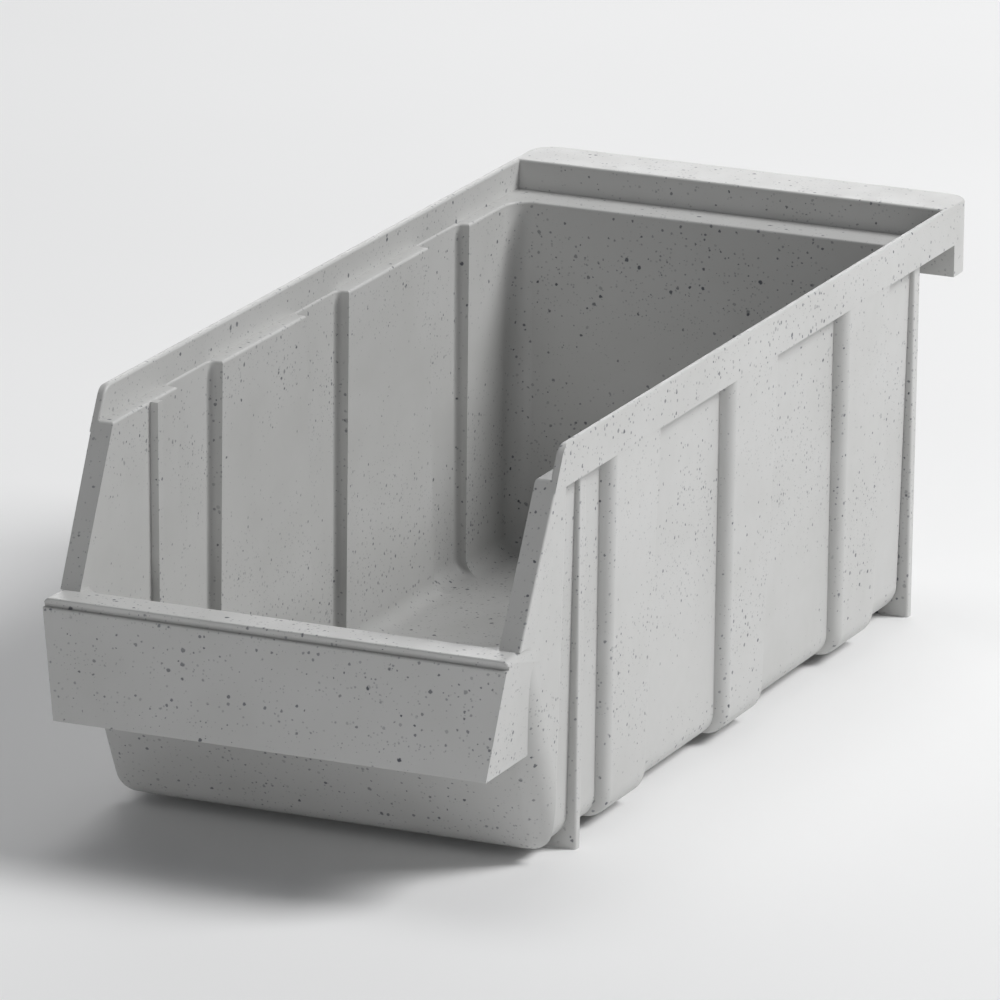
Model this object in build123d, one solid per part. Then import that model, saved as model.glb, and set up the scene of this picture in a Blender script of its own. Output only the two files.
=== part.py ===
from build123d import *
import os

# Stackable open-front storage bin. Millimetres, +Z up, front towards -Y.
# The real bin is one moulding. It is modelled whole, then cut into its moulded regions.
# It is drawn with y = 0 at the top front edge of the label face, then every region is moved so
# that the origin is at the centre of the bin's footprint, on the ground.

# ---- overall size ----
RIM_HALF_WIDTH = 72.5
REAR_Y = 351.5
TOP_Z = 125.0

# ---- skin thicknesses ----
WALL = 2.5
SKIN = 2.3

# ---- tub: the container itself, measured outside ----
FLOOR_UNDERSIDE_Z = 2.5
TUB_HALF_WIDTH_BOTTOM = 66.6
TUB_HALF_WIDTH_TOP = 68.2
TUB_REAR_Y_BOTTOM = 317.0
TUB_REAR_Y_TOP = 319.5
TUB_FRONT_CORNER_RADIUS = 8.4
TUB_REAR_CORNER_RADIUS = 9.0
FLOOR_EDGE_RADIUS = 8.0
FRONT_WALL_FOOT_Y = 40.2
FRONT_WALL_SLOPE = 0.464

# ---- front opening: lip and sloped side edges ----
LIP_Z = 71.5
SLOPE_START_Y = 9.9
SLOPE = 0.515
SLOPE_TOP_RADIUS = 5.0

# ---- front panels, thicker than the rest of the wall ----
PANEL_REAR_Y = 41.0
PANEL_HALF_WIDTH_TOP = 72.4
PANEL_HALF_WIDTH_BOTTOM = 70.2
PANEL_REAR_EDGE_RADIUS = 2.5

# ---- label face and its side plates ----
LABEL_BOTTOM_Z = 36.5
LABEL_BOTTOM_Y = -3.1
LABEL_HALF_WIDTH_TOP = 72.4
LABEL_HALF_WIDTH_BOTTOM = 67.3
LABEL_BAND_Z = 68.9
LABEL_NOSE_RADIUS = 0.6
LABEL_STEP_RADIUS = 0.7
LABEL_END_RADIUS = 2.2
LABEL_SIDE_REAR_Y = 37.0
LABEL_SIDE_HALF_WIDTH_REAR = 71.0
LABEL_NOSE_Y = 0.6
LABEL_BAND_Y = 1.3
LABEL_BAND_TOP_Z = 70.0

# ---- hollow vertical ribs ----
RIB_CENTRES_Y = [90.5, 179.0, 267.5]
RIB_HALF_LENGTH_TOP = 17.7
RIB_HALF_LENGTH_BOTTOM = 14.2
RIB_HALF_WIDTH_TOP = 72.2
RIB_HALF_WIDTH_BOTTOM = 70.1
RIB_FRONT_RADIUS = 3.8
RIB_REAR_RADIUS = 0.8
RIB_FOOT_RADIUS = 8.0

# ---- stacking feet and the bead opposite the front pair ----
FRONT_FOOT_Y = 55.2
REAR_FOOT_Y = 311.5
FOOT_THICKNESS_TOP = 5.0
FOOT_THICKNESS_BOTTOM = 3.4
FOOT_HALF_WIDTH = 69.6
FOOT_INNER_HALF_WIDTH = 50.0
FOOT_EDGE_RADIUS = 0.8
BEAD_Y = 57.0
BEAD_HEIGHT = 2.4
BEAD_THICKNESS = 3.2

# ---- rim and stacking ledge ----
LEDGE_Z = 115.8
BAND_BOTTOM_Z = 112.6
RIM_INNER_HALF_WIDTH = 70.2
RIM_REAR_INNER_Y = 331.0
RIM_EDGE_RADIUS = 0.8
LEDGE_EDGE_RADIUS = 0.8
SHOULDER_RADIUS = 1.2
SLOPE_EDGE_RADIUS = 0.6

# ---- hanging flange and hook lip ----
HOOK_FRONT_Y = 337.2
HOOK_BOTTOM_Z = 102.5
HOOK_CORNER_RADIUS = 8.0

# ---- a size that reaches past the bin, and tolerances for picking edges ----
FAR = 600.0
IN_FRONT = 150.0
TOUCHING = 0.05
UPRIGHT_RISE = 1.0

# ---- distance from the label face back to the middle of the footprint ----
FOOTPRINT_CENTRE_Y = (REAR_Y + LABEL_BOTTOM_Y) / 2

# ---- seams between the moulded regions ----
SIDE_SEAM_X = 54.0
FRONT_SEAM_Y = 52.0
REAR_SEAM_Y = 306.0
RIB_SEAM_CLEARANCE = 0.6
HOOK_END_SEAM_X = 63.0


def box_between(x0, x1, y0, y1, z0, z1):
    """Plain box given by its limits."""
    corner = Pos(x0, y0, z0)
    return corner * Box(x1 - x0, y1 - y0, z1 - z0, align=(Align.MIN, Align.MIN, Align.MIN))


def tapered_block(low, high):
    """Block with flat faces between two levels; each level is (z, half width, front y, rear y)."""
    outlines = []
    for z, half_width, front_y, rear_y in (low, high):
        length = rear_y - front_y
        middle = (front_y + rear_y) / 2
        outlines.append(Pos(0, middle, z) * Rectangle(2 * half_width, length))
    return loft(outlines, ruled=True)


def lies_at(edge, z):
    """True for an edge that runs level at height z."""
    heights = [edge.start_point().Z, edge.center().Z, edge.end_point().Z]
    return max(abs(height - z) for height in heights) < TOUCHING


def at_height(low_value, high_value, z):
    """Value on a straight line from the floor underside to the bottom of the rim band."""
    share = (z - FLOOR_UNDERSIDE_Z) / (BAND_BOTTOM_Z - FLOOR_UNDERSIDE_Z)
    return low_value + (high_value - low_value) * share


def front_wall_y(z):
    """Outside of the sloping front wall at height z."""
    return FRONT_WALL_FOOT_Y - FRONT_WALL_SLOPE * (z - FLOOR_UNDERSIDE_Z)


def rounded_tub(inset, z_low, z_high, half_widths=(TUB_HALF_WIDTH_BOTTOM, TUB_HALF_WIDTH_TOP)):
    """Tub shape drawn in by inset, with rounded upright corners and floor edges."""
    levels = []
    for z in (z_low, z_high):
        half_width = at_height(half_widths[0], half_widths[1], z) - inset
        front_y = front_wall_y(z) + inset * (1 + FRONT_WALL_SLOPE ** 2) ** 0.5
        rear_y = at_height(TUB_REAR_Y_BOTTOM, TUB_REAR_Y_TOP, z) - inset
        levels.append((z, half_width, front_y, rear_y))
    block = tapered_block(*levels)
    uprights = [e for e in block.edges() if abs(e.start_point().Z - e.end_point().Z) > UPRIGHT_RISE]
    rear = [e for e in uprights if e.center().Y > REAR_Y / 2]
    block = fillet(rear, TUB_REAR_CORNER_RADIUS - inset)
    uprights = [e for e in block.edges() if abs(e.start_point().Z - e.end_point().Z) > UPRIGHT_RISE]
    front = [e for e in uprights if e.center().Y < REAR_Y / 2]
    block = fillet(front, TUB_FRONT_CORNER_RADIUS - inset)
    bottom = block.faces().sort_by(Axis.Z)[0]
    return fillet(bottom.edges(), FLOOR_EDGE_RADIUS - inset)


def across_the_bin(outline):
    """Outline drawn in side view as (y, z), carried right across the bin."""
    standing = Plane(origin=(-FAR, 0, 0), x_dir=(0, 1, 0), z_dir=(1, 0, 0)) * outline
    return extrude(standing, amount=2 * FAR, dir=(1, 0, 0))


def side_profile_slab(z_low, z_high, low_half_width, high_half_width, y0, y1, foot_radius):
    """Slab across the bin between y0 and y1 with drafted sides and rounded lower corners."""
    points = [
        (-low_half_width, z_low),
        (low_half_width, z_low),
        (high_half_width, z_high),
        (-high_half_width, z_high),
    ]
    outline = make_face(Polyline(*points, close=True))
    if foot_radius > 0:
        low_corners = outline.vertices().sort_by(Axis.Y)[0:2]
        outline = fillet(low_corners, foot_radius)
    standing = Plane(origin=(0, y0, 0), x_dir=(1, 0, 0), z_dir=(0, -1, 0)) * outline
    return extrude(standing, amount=y1 - y0, dir=(0, 1, 0))


def rib_block(centre_y, inset, z_low, z_high):
    """One rib across the full width: narrows downwards, big round in front, small one behind."""
    reach = RIB_HALF_LENGTH_TOP + WALL
    low_half = at_height(RIB_HALF_WIDTH_BOTTOM, RIB_HALF_WIDTH_TOP, z_low) - inset
    high_half = at_height(RIB_HALF_WIDTH_BOTTOM, RIB_HALF_WIDTH_TOP, z_high) - inset
    foot_radius = RIB_FOOT_RADIUS - inset
    slab = side_profile_slab(
        z_low, z_high, low_half, high_half, centre_y - reach, centre_y + reach, foot_radius
    )
    low_length = at_height(RIB_HALF_LENGTH_BOTTOM, RIB_HALF_LENGTH_TOP, z_low) - inset
    high_length = at_height(RIB_HALF_LENGTH_BOTTOM, RIB_HALF_LENGTH_TOP, z_high) - inset
    wedge = tapered_block(
        (z_low, FAR, centre_y - low_length, centre_y + low_length),
        (z_high, FAR, centre_y - high_length, centre_y + high_length),
    )
    rib = slab & wedge
    return round_rib_uprights(rib, centre_y, inset)


def round_rib_uprights(rib, centre_y, inset):
    """Round the upright edges of a rib: inside the groove the rear corner is the big one."""
    front_radius = RIB_FRONT_RADIUS
    rear_radius = RIB_REAR_RADIUS
    if inset > 0:
        front_radius = RIB_FRONT_RADIUS - inset / 2
        rear_radius = RIB_REAR_RADIUS + inset / 2
    front = [e for e in rib_uprights(rib) if e.center().Y < centre_y]
    rib = fillet(front, front_radius)
    rear = [e for e in rib_uprights(rib) if e.center().Y > centre_y + RIB_HALF_LENGTH_BOTTOM / 2]
    return fillet(rear, rear_radius)


def rib_uprights(rib):
    """Outer upright edges and the rounded foot edges that continue them."""
    found = []
    for edge in rib.edges():
        tall = abs(edge.start_point().Z - edge.end_point().Z) > RIB_FOOT_RADIUS / 2
        outside = abs(edge.center().X) > SIDE_SEAM_X
        if tall and outside:
            found.append(edge)
    return found


def front_panel_block():
    """Thick front part of both side walls, rounded into the front wall below the lip."""
    half_widths = (PANEL_HALF_WIDTH_BOTTOM, PANEL_HALF_WIDTH_TOP)
    low = rounded_tub(0, FLOOR_UNDERSIDE_Z, BAND_BOTTOM_Z, half_widths)
    low = low & box_between(-FAR, FAR, -FAR, FAR, -FAR, LIP_Z)
    high = side_profile_slab(
        FLOOR_UNDERSIDE_Z, BAND_BOTTOM_Z, PANEL_HALF_WIDTH_BOTTOM, PANEL_HALF_WIDTH_TOP,
        -IN_FRONT, FAR, FLOOR_EDGE_RADIUS,
    )
    high = high & box_between(-FAR, FAR, -FAR, FAR, LIP_Z, FAR)
    plan_limit = tapered_block(
        (FLOOR_UNDERSIDE_Z, PANEL_HALF_WIDTH_BOTTOM, -IN_FRONT, PANEL_REAR_Y),
        (BAND_BOTTOM_Z, PANEL_HALF_WIDTH_TOP, -IN_FRONT, PANEL_REAR_Y),
    )
    uprights = [e for e in plan_limit.edges() if abs(e.start_point().Z - e.end_point().Z) > UPRIGHT_RISE]
    rear = [e for e in uprights if e.center().Y > 0]
    plan_limit = fillet(rear, PANEL_REAR_EDGE_RADIUS)
    return (low + high) & plan_limit


def front_apron():
    """Label face, its side plates and the flat lip behind its top edge: open underneath."""
    side_view = [
        (LABEL_BOTTOM_Y, LABEL_BOTTOM_Z),
        (0, LIP_Z),
        (LABEL_SIDE_REAR_Y, LIP_Z),
        (LABEL_SIDE_REAR_Y, LABEL_BOTTOM_Z),
    ]
    outer = across_the_bin(make_face(Polyline(*side_view, close=True)))
    outer = outer & side_profile_slab(
        LABEL_BOTTOM_Z, LIP_Z, LABEL_HALF_WIDTH_BOTTOM, LABEL_HALF_WIDTH_TOP, -IN_FRONT, FAR, 0
    )
    outer = outer & side_plate_limit()
    outer = outer - box_between(-FAR, FAR, -FAR, LABEL_NOSE_Y, LABEL_BAND_Z, FAR)
    ends = []
    for edge in outer.edges():
        outside = abs(edge.center().X) > PANEL_HALF_WIDTH_BOTTOM
        if lies_at(edge, LIP_Z) and outside and edge.center().Y < LABEL_SIDE_REAR_Y:
            ends.append(edge)
    outer = fillet(ends, LABEL_END_RADIUS)
    nose = []
    for edge in outer.edges():
        front = abs(edge.center().Y - LABEL_NOSE_Y) < TOUCHING
        if front and edge.center().Z > LABEL_BAND_Z + TOUCHING:
            nose.append(edge)
    outer = fillet(nose, LABEL_NOSE_RADIUS)
    outer = outer - box_between(-FAR, FAR, -FAR, LABEL_BAND_Y, LABEL_BAND_Z, LABEL_BAND_TOP_Z)
    step = []
    for edge in outer.edges():
        middle = abs(edge.center().X) < TOUCHING
        if lies_at(edge, LABEL_BAND_Z) and middle and edge.center().Y < LABEL_NOSE_Y:
            step.append(edge)
    outer = fillet(step, LABEL_STEP_RADIUS)
    hollow = tapered_block(
        (LABEL_BOTTOM_Z, LABEL_HALF_WIDTH_BOTTOM - SKIN, LABEL_BOTTOM_Y + SKIN, FAR),
        (LIP_Z, LABEL_HALF_WIDTH_TOP - SKIN, SKIN, FAR),
    )
    hollow = hollow & box_between(-FAR, FAR, -FAR, FAR, -FAR, LIP_Z - SKIN)
    return outer - hollow


def side_plate_limit():
    """In plan the side plates run back until they meet the sides of the front panels."""
    corners = [
        (-LABEL_HALF_WIDTH_TOP, 0),
        (LABEL_HALF_WIDTH_TOP, 0),
        (LABEL_SIDE_HALF_WIDTH_REAR, LABEL_SIDE_REAR_Y),
        (-LABEL_SIDE_HALF_WIDTH_REAR, LABEL_SIDE_REAR_Y),
    ]
    plan = make_face(Polyline(*corners, close=True))
    front_part = box_between(-FAR, FAR, -IN_FRONT, 0, -FAR, FAR)
    return front_part + Pos(0, 0, -FAR) * extrude(plan, amount=2 * FAR, dir=(0, 0, 1))


def rim_and_hook():
    """Rim band round the top, solid down to the ledge underside, with the hook at the back."""
    band = box_between(-RIM_HALF_WIDTH, RIM_HALF_WIDTH, -IN_FRONT, REAR_Y, BAND_BOTTOM_Z, TOP_Z)
    lip = box_between(-RIM_HALF_WIDTH, RIM_HALF_WIDTH, HOOK_FRONT_Y, REAR_Y, HOOK_BOTTOM_Z, TOP_Z)
    band = band + lip
    corners = []
    for edge in band.edges():
        tall = abs(edge.start_point().Z - edge.end_point().Z) > UPRIGHT_RISE
        if tall and edge.center().Y > REAR_Y - TOUCHING:
            corners.append(edge)
    band = fillet(corners, HOOK_CORNER_RADIUS)
    top = band.faces().sort_by(Axis.Z)[-1]
    band = fillet([e for e in top.edges() if e.center().Y > 0], RIM_EDGE_RADIUS)
    hook_hollow = box_between(
        -RIM_INNER_HALF_WIDTH, RIM_INNER_HALF_WIDTH,
        HOOK_FRONT_Y + SKIN, REAR_Y - SKIN, -FAR, TOP_Z - SKIN,
    )
    hollow_corners = []
    for edge in hook_hollow.edges():
        tall = abs(edge.start_point().Z - edge.end_point().Z) > UPRIGHT_RISE
        if tall and edge.center().Y > REAR_Y - SKIN - TOUCHING:
            hollow_corners.append(edge)
    hook_hollow = fillet(hollow_corners, HOOK_CORNER_RADIUS - SKIN)
    hanging_slot = box_between(
        -RIM_INNER_HALF_WIDTH, RIM_INNER_HALF_WIDTH,
        RIM_REAR_INNER_Y + SKIN, HOOK_FRONT_Y, -FAR, TOP_Z - SKIN,
    )
    return band - hook_hollow - hanging_slot


def side_view_limit():
    """Everything allowed in side view: lip height in front, sloped edge, rounded rim end."""
    slope_foot_y = SLOPE_START_Y
    slope_top_y = SLOPE_START_Y + SLOPE * (TOP_Z - LIP_Z)
    points = [
        (-FAR, -FAR),
        (FAR, -FAR),
        (FAR, TOP_Z),
        (slope_top_y, TOP_Z),
        (slope_foot_y, LIP_Z),
        (-FAR, LIP_Z),
    ]
    outline = make_face(Polyline(*points, close=True))
    rim_end = outline.vertices().sort_by_distance((slope_top_y, TOP_Z, 0))[0]
    return across_the_bin(fillet(rim_end, SLOPE_TOP_RADIUS))


def inside_space():
    """The space inside: tub, grooves behind the ribs, open front and the room above the ledge."""
    floor_top = FLOOR_UNDERSIDE_Z + WALL
    space = rounded_tub(WALL, floor_top, LEDGE_Z)
    for centre_y in RIB_CENTRES_Y:
        space = space + rib_block(centre_y, WALL, floor_top, LEDGE_Z)
    low_half = at_height(TUB_HALF_WIDTH_BOTTOM, TUB_HALF_WIDTH_TOP, LIP_Z) - WALL
    high_half = at_height(TUB_HALF_WIDTH_BOTTOM, TUB_HALF_WIDTH_TOP, LEDGE_Z) - WALL
    open_front = tapered_block(
        (LIP_Z, low_half, -FAR, FRONT_SEAM_Y),
        (LEDGE_Z, high_half, -FAR, FRONT_SEAM_Y),
    )
    room_above = box_between(
        -RIM_INNER_HALF_WIDTH, RIM_INNER_HALF_WIDTH, -FAR, RIM_REAR_INNER_Y, LEDGE_Z, FAR
    )
    return space + open_front + room_above


def tub_outside():
    """Solid outside shape of the tub with its ribs and front panels, up to the rim band."""
    solid = rounded_tub(0, FLOOR_UNDERSIDE_Z, BAND_BOTTOM_Z)
    for centre_y in RIB_CENTRES_Y:
        solid = solid + rib_block(centre_y, 0, FLOOR_UNDERSIDE_Z, BAND_BOTTOM_Z)
    return solid + round_sloped_edges(front_panel_block() & side_view_limit())


def cut_side_regions(shell):
    """Side walls below the rim band, cut across into panels and ribs, right side then left."""
    seams = [("front_panel", -FAR)]
    seams.append(("channel_wall", PANEL_REAR_Y))
    for number, centre_y in enumerate(RIB_CENTRES_Y, start=1):
        reach = RIB_HALF_LENGTH_TOP + RIB_SEAM_CLEARANCE
        seams.append((f"rib_{number}", centre_y - reach))
        seams.append((f"wall_panel_{number}", centre_y + reach))
    seams.append(("end", REAR_SEAM_Y))
    regions = {}
    for (name, start_y), (_, end_y) in zip(seams, seams[1:]):
        right = box_between(SIDE_SEAM_X, FAR, start_y, end_y, -FAR, BAND_BOTTOM_Z)
        left = box_between(-FAR, -SIDE_SEAM_X, start_y, end_y, -FAR, BAND_BOTTOM_Z)
        regions[name + "_right"] = shell & right
        regions[name + "_left"] = shell & left
    return regions


def cut_middle_regions(shell):
    """Floor, front wall and back wall."""
    middle = (-SIDE_SEAM_X, SIDE_SEAM_X)
    front = box_between(*middle, -FAR, FRONT_SEAM_Y, -FAR, BAND_BOTTOM_Z)
    floor = box_between(*middle, FRONT_SEAM_Y, REAR_SEAM_Y, -FAR, BAND_BOTTOM_Z)
    back = box_between(-FAR, FAR, REAR_SEAM_Y, RIM_REAR_INNER_Y, -FAR, BAND_BOTTOM_Z)
    return {"front_wall": shell & front, "floor_pan": shell & floor, "back_wall": shell & back}


def cut_rim_regions(shell):
    """Ledge, rim, hanging flange and hook."""
    rim_rear_y = RIM_REAR_INNER_Y + SKIN
    flange_z = TOP_Z - SKIN
    corner_x = HOOK_END_SEAM_X
    front_web_y = HOOK_FRONT_Y + SKIN
    regions = {}
    inner_x = RIM_INNER_HALF_WIDTH
    for side, x0, x1 in (("right", 0, inner_x), ("left", -inner_x, 0)):
        ledge = box_between(x0, x1, -FAR, REAR_SEAM_Y, BAND_BOTTOM_Z, FAR)
        regions["ledge_" + side] = shell & ledge
    for side, x0, x1 in (("right", inner_x, FAR), ("left", -FAR, -inner_x)):
        rim = box_between(x0, x1, -FAR, RIM_REAR_INNER_Y, BAND_BOTTOM_Z, FAR)
        regions["rim_" + side] = shell & rim
    rear_ledge = box_between(-inner_x, inner_x, REAR_SEAM_Y, RIM_REAR_INNER_Y, BAND_BOTTOM_Z, FAR)
    rear_rim = box_between(-FAR, FAR, RIM_REAR_INNER_Y, rim_rear_y, BAND_BOTTOM_Z, flange_z)
    flange = box_between(-FAR, FAR, RIM_REAR_INNER_Y, FAR, flange_z, FAR)
    web_limits = (-RIM_INNER_HALF_WIDTH, RIM_INNER_HALF_WIDTH)
    front_web = box_between(*web_limits, HOOK_FRONT_Y, front_web_y, -FAR, flange_z)
    rear_web = box_between(-corner_x, corner_x, REAR_Y - 2 * SKIN, FAR, -FAR, flange_z)
    regions["ledge_rear"] = shell & rear_ledge
    regions["rim_rear"] = shell & rear_rim
    regions["hanging_flange"] = shell & flange
    regions["hook_front_web"] = shell & box_between(-FAR, FAR, rim_rear_y, FAR, -FAR, FAR) & front_web
    regions["hook_rear_web"] = shell & rear_web
    for side, x0, x1 in (("right", corner_x, FAR), ("left", -FAR, -corner_x)):
        end = box_between(x0, x1, rim_rear_y, FAR, -FAR, flange_z)
        regions["hook_end_" + side] = (shell & end) - front_web
    return regions


def cut_apron_regions(apron):
    """Front lip, label face and the two side plates."""
    lip_underside = LIP_Z - SKIN
    below_lip = box_between(-FAR, FAR, -FAR, FAR, -FAR, lip_underside)
    label_zone = tapered_block(
        (LABEL_BOTTOM_Z, FAR, -FAR, LABEL_BOTTOM_Y + SKIN),
        (LIP_Z, FAR, -FAR, SKIN),
    )
    sides = (apron & below_lip) - label_zone
    return {
        "front_lip": apron & box_between(-FAR, FAR, -FAR, FAR, lip_underside, FAR),
        "label_face": apron & below_lip & label_zone,
        "label_side_right": sides & box_between(0, FAR, -FAR, FAR, -FAR, FAR),
        "label_side_left": sides & box_between(-FAR, 0, -FAR, FAR, -FAR, FAR),
    }


def foot_pair(front_y):
    """One pair of stacking feet: thin fins outside the tub, down to the ground."""
    middle = front_y + FOOT_THICKNESS_TOP / 2
    slab = tapered_block(
        (0, FOOT_HALF_WIDTH, middle - FOOT_THICKNESS_BOTTOM / 2, middle + FOOT_THICKNESS_BOTTOM / 2),
        (BAND_BOTTOM_Z, FOOT_HALF_WIDTH, front_y, front_y + FOOT_THICKNESS_TOP),
    )
    uprights = []
    for edge in slab.edges():
        if abs(edge.start_point().Z - edge.end_point().Z) > UPRIGHT_RISE:
            uprights.append(edge)
    slab = fillet(uprights, FOOT_EDGE_RADIUS)
    slab = slab - box_between(
        -FOOT_INNER_HALF_WIDTH, FOOT_INNER_HALF_WIDTH, -FAR, FAR, -FAR, FAR
    )
    return slab - rounded_tub(0, FLOOR_UNDERSIDE_Z, LEDGE_Z)


def bead_pair():
    """Raised upright beads on the inside of the side walls."""
    floor_top = FLOOR_UNDERSIDE_Z + WALL
    space = rounded_tub(WALL, floor_top, LEDGE_Z)
    space = space & box_between(-FAR, FAR, BEAD_Y, BEAD_Y + BEAD_THICKNESS, -FAR, FAR)
    low_half = TUB_HALF_WIDTH_BOTTOM - WALL - BEAD_HEIGHT
    high_half = TUB_HALF_WIDTH_TOP - WALL - BEAD_HEIGHT
    middle = tapered_block((0, low_half, -FAR, FAR), (LEDGE_Z, high_half, -FAR, FAR))
    return space - middle


def split_pair(pair, name):
    """Right and left halves of a mirrored pair."""
    right = pair & box_between(0, FAR, -FAR, FAR, -FAR, FAR)
    left = pair & box_between(-FAR, 0, -FAR, FAR, -FAR, FAR)
    return {name + "_right": right, name + "_left": left}


def shoulder_cutter():
    """Removes the sharp corner where the ledge's front end meets the sloped front edge."""
    shoulder_y = SLOPE_START_Y + SLOPE * (LEDGE_Z - LIP_Z)
    points = [
        (-FAR, -FAR),
        (FAR, -FAR),
        (FAR, LEDGE_Z),
        (shoulder_y, LEDGE_Z),
        (SLOPE_START_Y, LIP_Z),
        (-FAR, LIP_Z),
    ]
    outline = make_face(Polyline(*points, close=True))
    shoulder = outline.vertices().sort_by_distance((shoulder_y, LEDGE_Z, 0))[0]
    kept = across_the_bin(fillet(shoulder, SHOULDER_RADIUS))
    inner_x = RIM_INNER_HALF_WIDTH
    return box_between(-inner_x, inner_x, -FAR, PANEL_REAR_Y, LIP_Z, LEDGE_Z) - kept


def round_open_edges(shell):
    """Small rounds on the inner edges of the ledge and the rim, and on the ledge's front end."""
    ledge_edges = []
    for edge in shell.edges():
        reach = max(abs(edge.start_point().X), abs(edge.end_point().X))
        inside = reach < RIM_INNER_HALF_WIDTH - TOUCHING and edge.center().Y < TUB_REAR_Y_TOP
        if lies_at(edge, LEDGE_Z) and inside:
            ledge_edges.append(edge)
    shell = fillet(ledge_edges, LEDGE_EDGE_RADIUS)
    rim_edges = []
    for edge in shell.edges():
        at_side = abs(abs(edge.center().X) - RIM_INNER_HALF_WIDTH) < TOUCHING
        at_rear = abs(edge.center().Y - RIM_REAR_INNER_Y) < TOUCHING
        if lies_at(edge, TOP_Z) and (at_side or at_rear):
            rim_edges.append(edge)
    shell = fillet(rim_edges, RIM_EDGE_RADIUS)
    shell = shell - shoulder_cutter()
    return shell


def round_sloped_edges(panels):
    """Small round on the outer edge of the sloped front of both front panels."""
    slope_edges = []
    for edge in panels.edges():
        rise = abs(edge.start_point().Z - edge.end_point().Z)
        run = abs(edge.start_point().Y - edge.end_point().Y)
        along = rise > SLOPE_TOP_RADIUS and abs(run - SLOPE * rise) < TOUCHING
        outside = abs(edge.center().X) > RIM_INNER_HALF_WIDTH
        if along and outside and edge.center().Z > LIP_Z:
            slope_edges.append(edge)
    return fillet(slope_edges, SLOPE_EDGE_RADIUS)


def all_regions():
    """Every named region of the bin."""
    tub = tub_outside()
    space = inside_space()
    shell = ((tub + rim_and_hook()) & side_view_limit()) - space
    shell = round_open_edges(shell)
    apron = front_apron() - tub - space
    regions = {}
    regions.update(cut_middle_regions(shell))
    regions.update(cut_side_regions(shell))
    regions.update(cut_rim_regions(shell))
    regions.update(cut_apron_regions(apron))
    regions.update(split_pair(foot_pair(FRONT_FOOT_Y), "front_foot"))
    regions.update(split_pair(foot_pair(REAR_FOOT_Y), "rear_foot"))
    regions.update(split_pair(bead_pair(), "inner_bead"))
    return regions


os.makedirs("parts", exist_ok=True)
for region_name, region in all_regions().items():
    region = Pos(0, -FOOTPRINT_CENTRE_Y, 0) * region
    print(region_name, len(region.solids()), round(region.volume), region.is_valid)
    export_step(region, f"parts/{region_name}.step")
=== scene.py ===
import math
from collections import namedtuple

import bpy
from mathutils import Matrix, Vector

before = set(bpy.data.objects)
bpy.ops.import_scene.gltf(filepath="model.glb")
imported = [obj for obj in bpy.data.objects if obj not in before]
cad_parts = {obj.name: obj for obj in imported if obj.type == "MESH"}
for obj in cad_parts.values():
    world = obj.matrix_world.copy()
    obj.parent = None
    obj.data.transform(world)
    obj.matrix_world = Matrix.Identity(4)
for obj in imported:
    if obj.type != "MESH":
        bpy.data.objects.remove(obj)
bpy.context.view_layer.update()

# Stackable storage bin: one moulding in speckled light grey plastic.
# Metres, +Z up, the open front faces -Y, the origin is under the middle of the bin.
# Every shape comes from the CAD nodes: this script gives them their plastic and sets up the studio.

# ---------------------------------------------------------------- plastic: colours and sizes
GREY_CLOUD_DARK = (0.500, 0.500, 0.490, 1.0)
GREY_CLOUD_LIGHT = (0.535, 0.535, 0.526, 1.0)
GREY_FLOW = (0.545, 0.545, 0.540, 1.0)
CLOUD_SCALE = 22.0
FLOW_SCALE = 60.0
FLOW_STRETCH = (1.0, 0.35, 1.0)
FLOW_SHARE = 0.5

CLUSTER_SCALE = 45.0
CLUSTER_SPARSE = 0.7
CLUSTER_DENSE = 1.25

# A speck's size is its usual diameter in metres. share is how many grid cells hold one, seed shifts its
# grid, softness blurs its rim, and cover is how much of the grey it hides.
Speck = namedtuple("Speck", "size share seed softness cover colour")
FINE = Speck(0.00042, 0.50, 3, 0.40, 0.70, (0.200, 0.205, 0.225, 1.0))
MEDIUM = Speck(0.00062, 0.42, 2, 0.25, 0.85, (0.075, 0.080, 0.105, 1.0))
LARGE = Speck(0.00082, 0.15, 1, 0.25, 0.95, (0.045, 0.050, 0.070, 1.0))

SEED_SHIFT = (0.113, 0.271, 0.197)
CELL_PER_SIZE = 2.6
WOBBLE_PER_SIZE = 0.9
RADIUS_SMALLEST = 0.09
RADIUS_SPREAD = 0.24
RADIUS_POWER = 2.2
STRENGTH_FAINTEST = 0.30
STRENGTH_SPREAD = 0.70

GRAIN_SCALE = 2600.0
RIPPLE_SCALE = 70.0
RIPPLE_OVER_GRAIN = 8.0
BUMP_STRENGTH = 0.10
BUMP_DEPTH = 0.00006
GLOSS_SCALE = 180.0
ROUGHNESS_LOW = 0.42
ROUGHNESS_HIGH = 0.50
PLASTIC_IOR = 1.49

# ---------------------------------------------------------------- studio: floor, camera, lights
FLOOR_HALF = 6.0
FLOOR_TONE_SCALE = 3.0
FLOOR_DARK = (0.86, 0.86, 0.86, 1.0)
FLOOR_LIGHT = (0.88, 0.88, 0.88, 1.0)
FLOOR_ROUGHNESS = 0.9
FLOOR_SPECULAR = 0.1

CAMERA_PLACE = Vector((1.1886, -2.73575, 0.9235))
CAMERA_LOOK = Vector((-0.38479, 0.88053, -0.27676))
CAMERA_ROLL = math.radians(0.706)
CAMERA_LENS = 377.43
CAMERA_SENSOR = 36.0
CAMERA_REACH = 60.0

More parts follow.
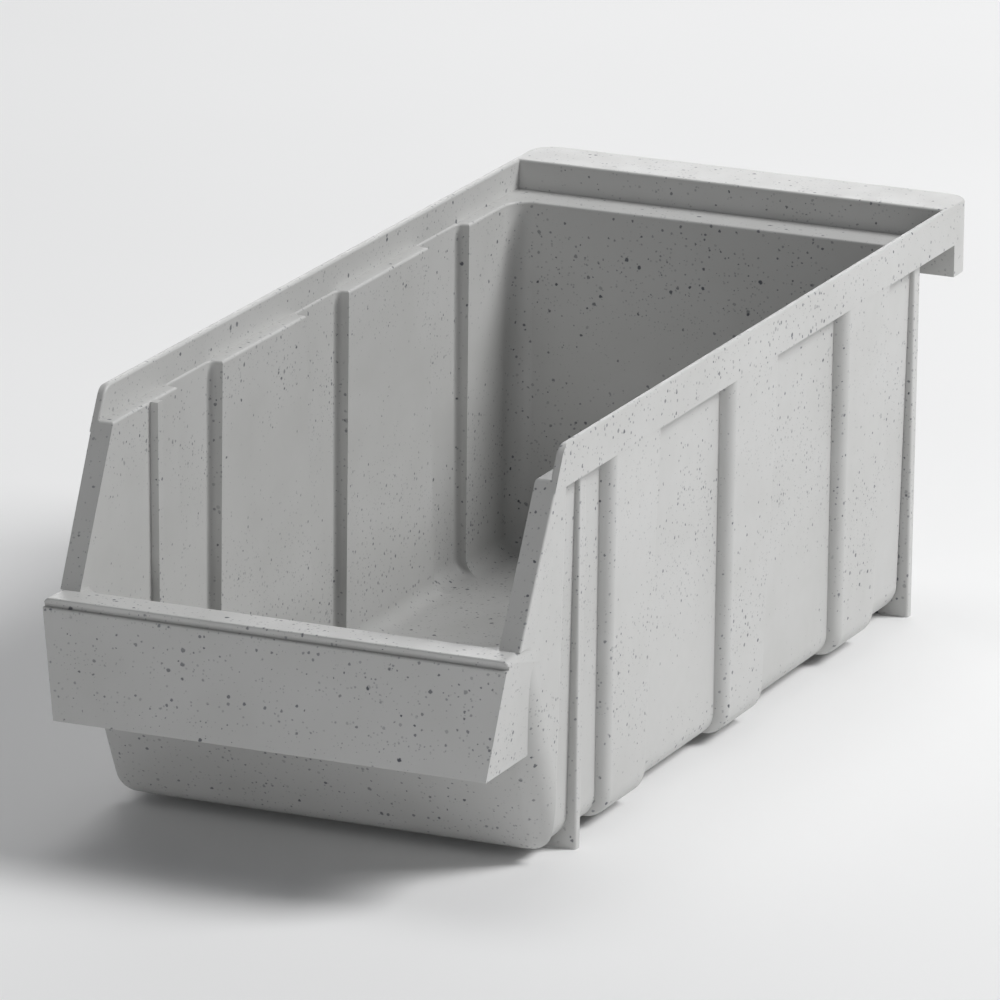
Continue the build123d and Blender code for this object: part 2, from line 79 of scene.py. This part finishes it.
# An area light's size is its width and height in metres, and its power is in watts.
AreaLight = namedtuple("AreaLight", "name place target size power")
MIDDLE_OF_BIN = (0.0, 0.0, 0.05)
LIGHTS = (
    AreaLight("key_from_behind_right", (1.80, 0.85, 1.85), (0.0, 0.05, 0.05), (1.0, 1.0), 60.0),
    AreaLight("backdrop_glow", (-1.05, 2.60, 0.95), MIDDLE_OF_BIN, (2.2, 1.0), 22.0),
    AreaLight("fill_from_above", (-0.5, 0.7, 2.6), MIDDLE_OF_BIN, (1.2, 1.2), 12.0),
    AreaLight("fill_from_the_front", (0.4, -2.7, 0.42), MIDDLE_OF_BIN, (1.0, 0.5), 9.0),
)
WORLD_COLOUR = (0.95, 0.97, 1.0, 1.0)
WORLD_STRENGTH = 0.16


# ---------------------------------------------------------------- node helpers
class Graph:
    """Short way to write a node tree: every method adds one node and returns it or its output."""

    def __init__(self, tree):
        self.tree = tree

    def add(self, kind, **settings):
        node = self.tree.nodes.new(kind)
        for name, value in settings.items():
            setattr(node, name, value)
        return node

    def feed(self, socket, value):
        if isinstance(value, bpy.types.NodeSocket):
            self.tree.links.new(value, socket)
        elif value is not None:
            socket.default_value = value

    def place(self):
        return self.add("ShaderNodeTexCoord").outputs["Object"]

    def math(self, operation, first, second=None, third=None):
        node = self.add("ShaderNodeMath", operation=operation)
        for socket, value in zip(node.inputs, (first, second, third)):
            self.feed(socket, value)
        return node.outputs[0]

    def vector_math(self, operation, first, second):
        node = self.add("ShaderNodeVectorMath", operation=operation)
        self.feed(node.inputs[0], first)
        self.feed(node.inputs[1], second)
        return node.outputs[0]

    def scaled(self, vector, factor):
        node = self.add("ShaderNodeVectorMath", operation="SCALE")
        self.feed(node.inputs[0], vector)
        node.inputs["Scale"].default_value = factor
        return node.outputs[0]

    def noise(self, vector, scale, detail=2.0, roughness=0.5, output="Fac"):
        node = self.add("ShaderNodeTexNoise", noise_dimensions="3D")
        self.feed(node.inputs["Vector"], vector)
        node.inputs["Scale"].default_value = scale
        node.inputs["Detail"].default_value = detail
        node.inputs["Roughness"].default_value = roughness
        return node.outputs[output]

    def cells(self, vector, scale):
        node = self.add("ShaderNodeTexVoronoi", voronoi_dimensions="3D", feature="F1")
        self.feed(node.inputs["Vector"], vector)
        node.inputs["Scale"].default_value = scale
        node.inputs["Randomness"].default_value = 1.0
        return node

    def channels(self, colour):
        node = self.add("ShaderNodeSeparateColor")
        self.feed(node.inputs[0], colour)
        return node.outputs[0], node.outputs[1], node.outputs[2]

    def remap(self, value, low, high, to_low=0.0, to_high=1.0):
        node = self.add("ShaderNodeMapRange")
        node.interpolation_type = "SMOOTHSTEP"
        node.clamp = True
        self.feed(node.inputs["Value"], value)
        for name, number in (("From Min", low), ("From Max", high), ("To Min", to_low), ("To Max", to_high)):
            self.feed(node.inputs[name], number)
        return node.outputs["Result"]

    def mix(self, share, first, second):
        node = self.add("ShaderNodeMix", data_type="RGBA", blend_type="MIX")
        self.feed(node.inputs["Factor"], share)
        self.feed(node.inputs[6], first)
        self.feed(node.inputs[7], second)
        return node.outputs[2]


# ---------------------------------------------------------------- plastic
def speck_cover(graph, place, cluster, speck):
    """How far one kind of speck hides the grey: irregular dots, in only a share of a grid's cells."""
    shift = tuple(speck.seed * part for part in SEED_SHIFT)
    shifted = graph.vector_math("ADD", place, shift)
    wobble = graph.noise(shifted, WOBBLE_PER_SIZE / speck.size, detail=1.0, output="Color")
    centred = graph.vector_math("SUBTRACT", wobble, (0.5, 0.5, 0.5))
    bent = graph.vector_math("ADD", shifted, graph.scaled(centred, speck.size * WOBBLE_PER_SIZE))

    cell = graph.cells(bent, 1.0 / (speck.size * CELL_PER_SIZE))
    red, green, blue = graph.channels(cell.outputs["Color"])
    present = graph.math("LESS_THAN", red, graph.math("MULTIPLY", cluster, speck.share))
    spread = graph.math("POWER", green, RADIUS_POWER)
    radius = graph.math("MULTIPLY_ADD", spread, RADIUS_SPREAD, RADIUS_SMALLEST)
    reach = graph.math("DIVIDE", cell.outputs["Distance"], radius)
    dot = graph.remap(reach, 1.0 - speck.softness, 1.0 + speck.softness, 1.0, 0.0)
    strength = graph.math("MULTIPLY_ADD", blue, STRENGTH_SPREAD, STRENGTH_FAINTEST)
    shown = graph.math("MULTIPLY", graph.math("MULTIPLY", dot, present), strength)
    return graph.math("MULTIPLY", shown, speck.cover)


def plastic_grey(graph, place):
    """Light grey with faint clouds, and streaks drawn out along the bin as the plastic flowed."""
    clouds = graph.remap(graph.noise(place, CLOUD_SCALE, detail=3.0), 0.3, 0.7)
    grey = graph.mix(clouds, GREY_CLOUD_DARK, GREY_CLOUD_LIGHT)
    stretched = graph.vector_math("MULTIPLY", place, FLOW_STRETCH)
    flow = graph.remap(graph.noise(stretched, FLOW_SCALE), 0.35, 0.75, 0.0, FLOW_SHARE)
    return graph.mix(flow, grey, GREY_FLOW)


def plastic_bump(graph, place):
    """Fine moulded grain over a slow ripple."""
    grain = graph.noise(place, GRAIN_SCALE, roughness=0.6)
    ripple = graph.noise(place, RIPPLE_SCALE, detail=1.0)
    bump = graph.add("ShaderNodeBump")
    bump.inputs["Strength"].default_value = BUMP_STRENGTH
    bump.inputs["Distance"].default_value = BUMP_DEPTH
    graph.feed(bump.inputs["Height"], graph.math("MULTIPLY_ADD", ripple, RIPPLE_OVER_GRAIN, grain))
    return bump.outputs["Normal"]


def speckled_plastic():
    """Light grey moulded plastic with dark specks in it, and a faint satin grain."""
    material = bpy.data.materials.new("speckled_grey_plastic")
    material.use_nodes = True
    tree = material.node_tree
    tree.nodes.clear()
    graph = Graph(tree)
    place = graph.place()

    # The specks gather in loose clusters, as the ground-up pigment does in the real plastic.
    patches = graph.noise(place, CLUSTER_SCALE)
    cluster = graph.remap(patches, 0.36, 0.66, CLUSTER_SPARSE, CLUSTER_DENSE)
    colour = plastic_grey(graph, place)
    for speck in (FINE, MEDIUM, LARGE):
        colour = graph.mix(speck_cover(graph, place, cluster, speck), colour, speck.colour)

    gloss = graph.noise(place, GLOSS_SCALE)
    shader = graph.add("ShaderNodeBsdfPrincipled")
    graph.feed(shader.inputs["Base Color"], colour)
    graph.feed(shader.inputs["Roughness"], graph.remap(gloss, 0.3, 0.7, ROUGHNESS_LOW, ROUGHNESS_HIGH))
    graph.feed(shader.inputs["Normal"], plastic_bump(graph, place))
    shader.inputs["IOR"].default_value = PLASTIC_IOR
    output = graph.add("ShaderNodeOutputMaterial")
    graph.feed(output.inputs["Surface"], shader.outputs[0])
    return material


plastic = speckled_plastic()
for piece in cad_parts.values():
    piece.data.materials.clear()
    piece.data.materials.append(plastic)


# ---------------------------------------------------------------- floor
def floor_material():
    material = bpy.data.materials.new("pale_floor")
    material.use_nodes = True
    graph = Graph(material.node_tree)
    shader = material.node_tree.nodes["Principled BSDF"]
    tone = graph.remap(graph.noise(graph.place(), FLOOR_TONE_SCALE), 0.3, 0.7)
    graph.feed(shader.inputs["Base Color"], graph.mix(tone, FLOOR_DARK, FLOOR_LIGHT))
    shader.inputs["Roughness"].default_value = FLOOR_ROUGHNESS
    shader.inputs["Specular IOR Level"].default_value = FLOOR_SPECULAR
    return material


def pale_floor():
    mesh = bpy.data.meshes.new("studio_floor")
    turns = ((-1, -1), (1, -1), (1, 1), (-1, 1))
    corners = [(FLOOR_HALF * across, FLOOR_HALF * along, 0.0) for across, along in turns]
    mesh.from_pydata(corners, [], [(0, 1, 2, 3)])
    mesh.materials.append(floor_material())
    floor = bpy.data.objects.new("studio_floor", mesh)
    bpy.context.scene.collection.objects.link(floor)


pale_floor()


# ---------------------------------------------------------------- camera
def photo_camera():
    data = bpy.data.cameras.new("photo_camera")
    data.lens = CAMERA_LENS
    data.sensor_width = CAMERA_SENSOR
    data.clip_end = CAMERA_REACH
    camera = bpy.data.objects.new("photo_camera", data)
    bpy.context.scene.collection.objects.link(camera)
    look = CAMERA_LOOK.to_track_quat("-Z", "Y").to_matrix().to_4x4()
    roll = Matrix.Rotation(CAMERA_ROLL, 4, "Z")
    camera.matrix_world = Matrix.Translation(CAMERA_PLACE) @ look @ roll
    return camera


bpy.context.scene.camera = photo_camera()


# ---------------------------------------------------------------- light
def add_area_light(lamp):
    data = bpy.data.lights.new(lamp.name, "AREA")
    data.shape = "RECTANGLE"
    data.size, data.size_y = lamp.size
    data.energy = lamp.power
    light = bpy.data.objects.new(lamp.name, data)
    bpy.context.scene.collection.objects.link(light)
    aim = (Vector(lamp.target) - Vector(lamp.place)).to_track_quat("-Z", "Y").to_matrix().to_4x4()
    light.matrix_world = Matrix.Translation(lamp.place) @ aim


def soft_world():
    world = bpy.data.worlds.new("studio")
    world.use_nodes = True
    background = world.node_tree.nodes["Background"]
    background.inputs["Color"].default_value = WORLD_COLOUR
    background.inputs["Strength"].default_value = WORLD_STRENGTH
    return world


for lamp in LIGHTS:
    add_area_light(lamp)
bpy.context.scene.world = soft_world()
bpy.context.scene.view_settings.view_transform = "Standard"
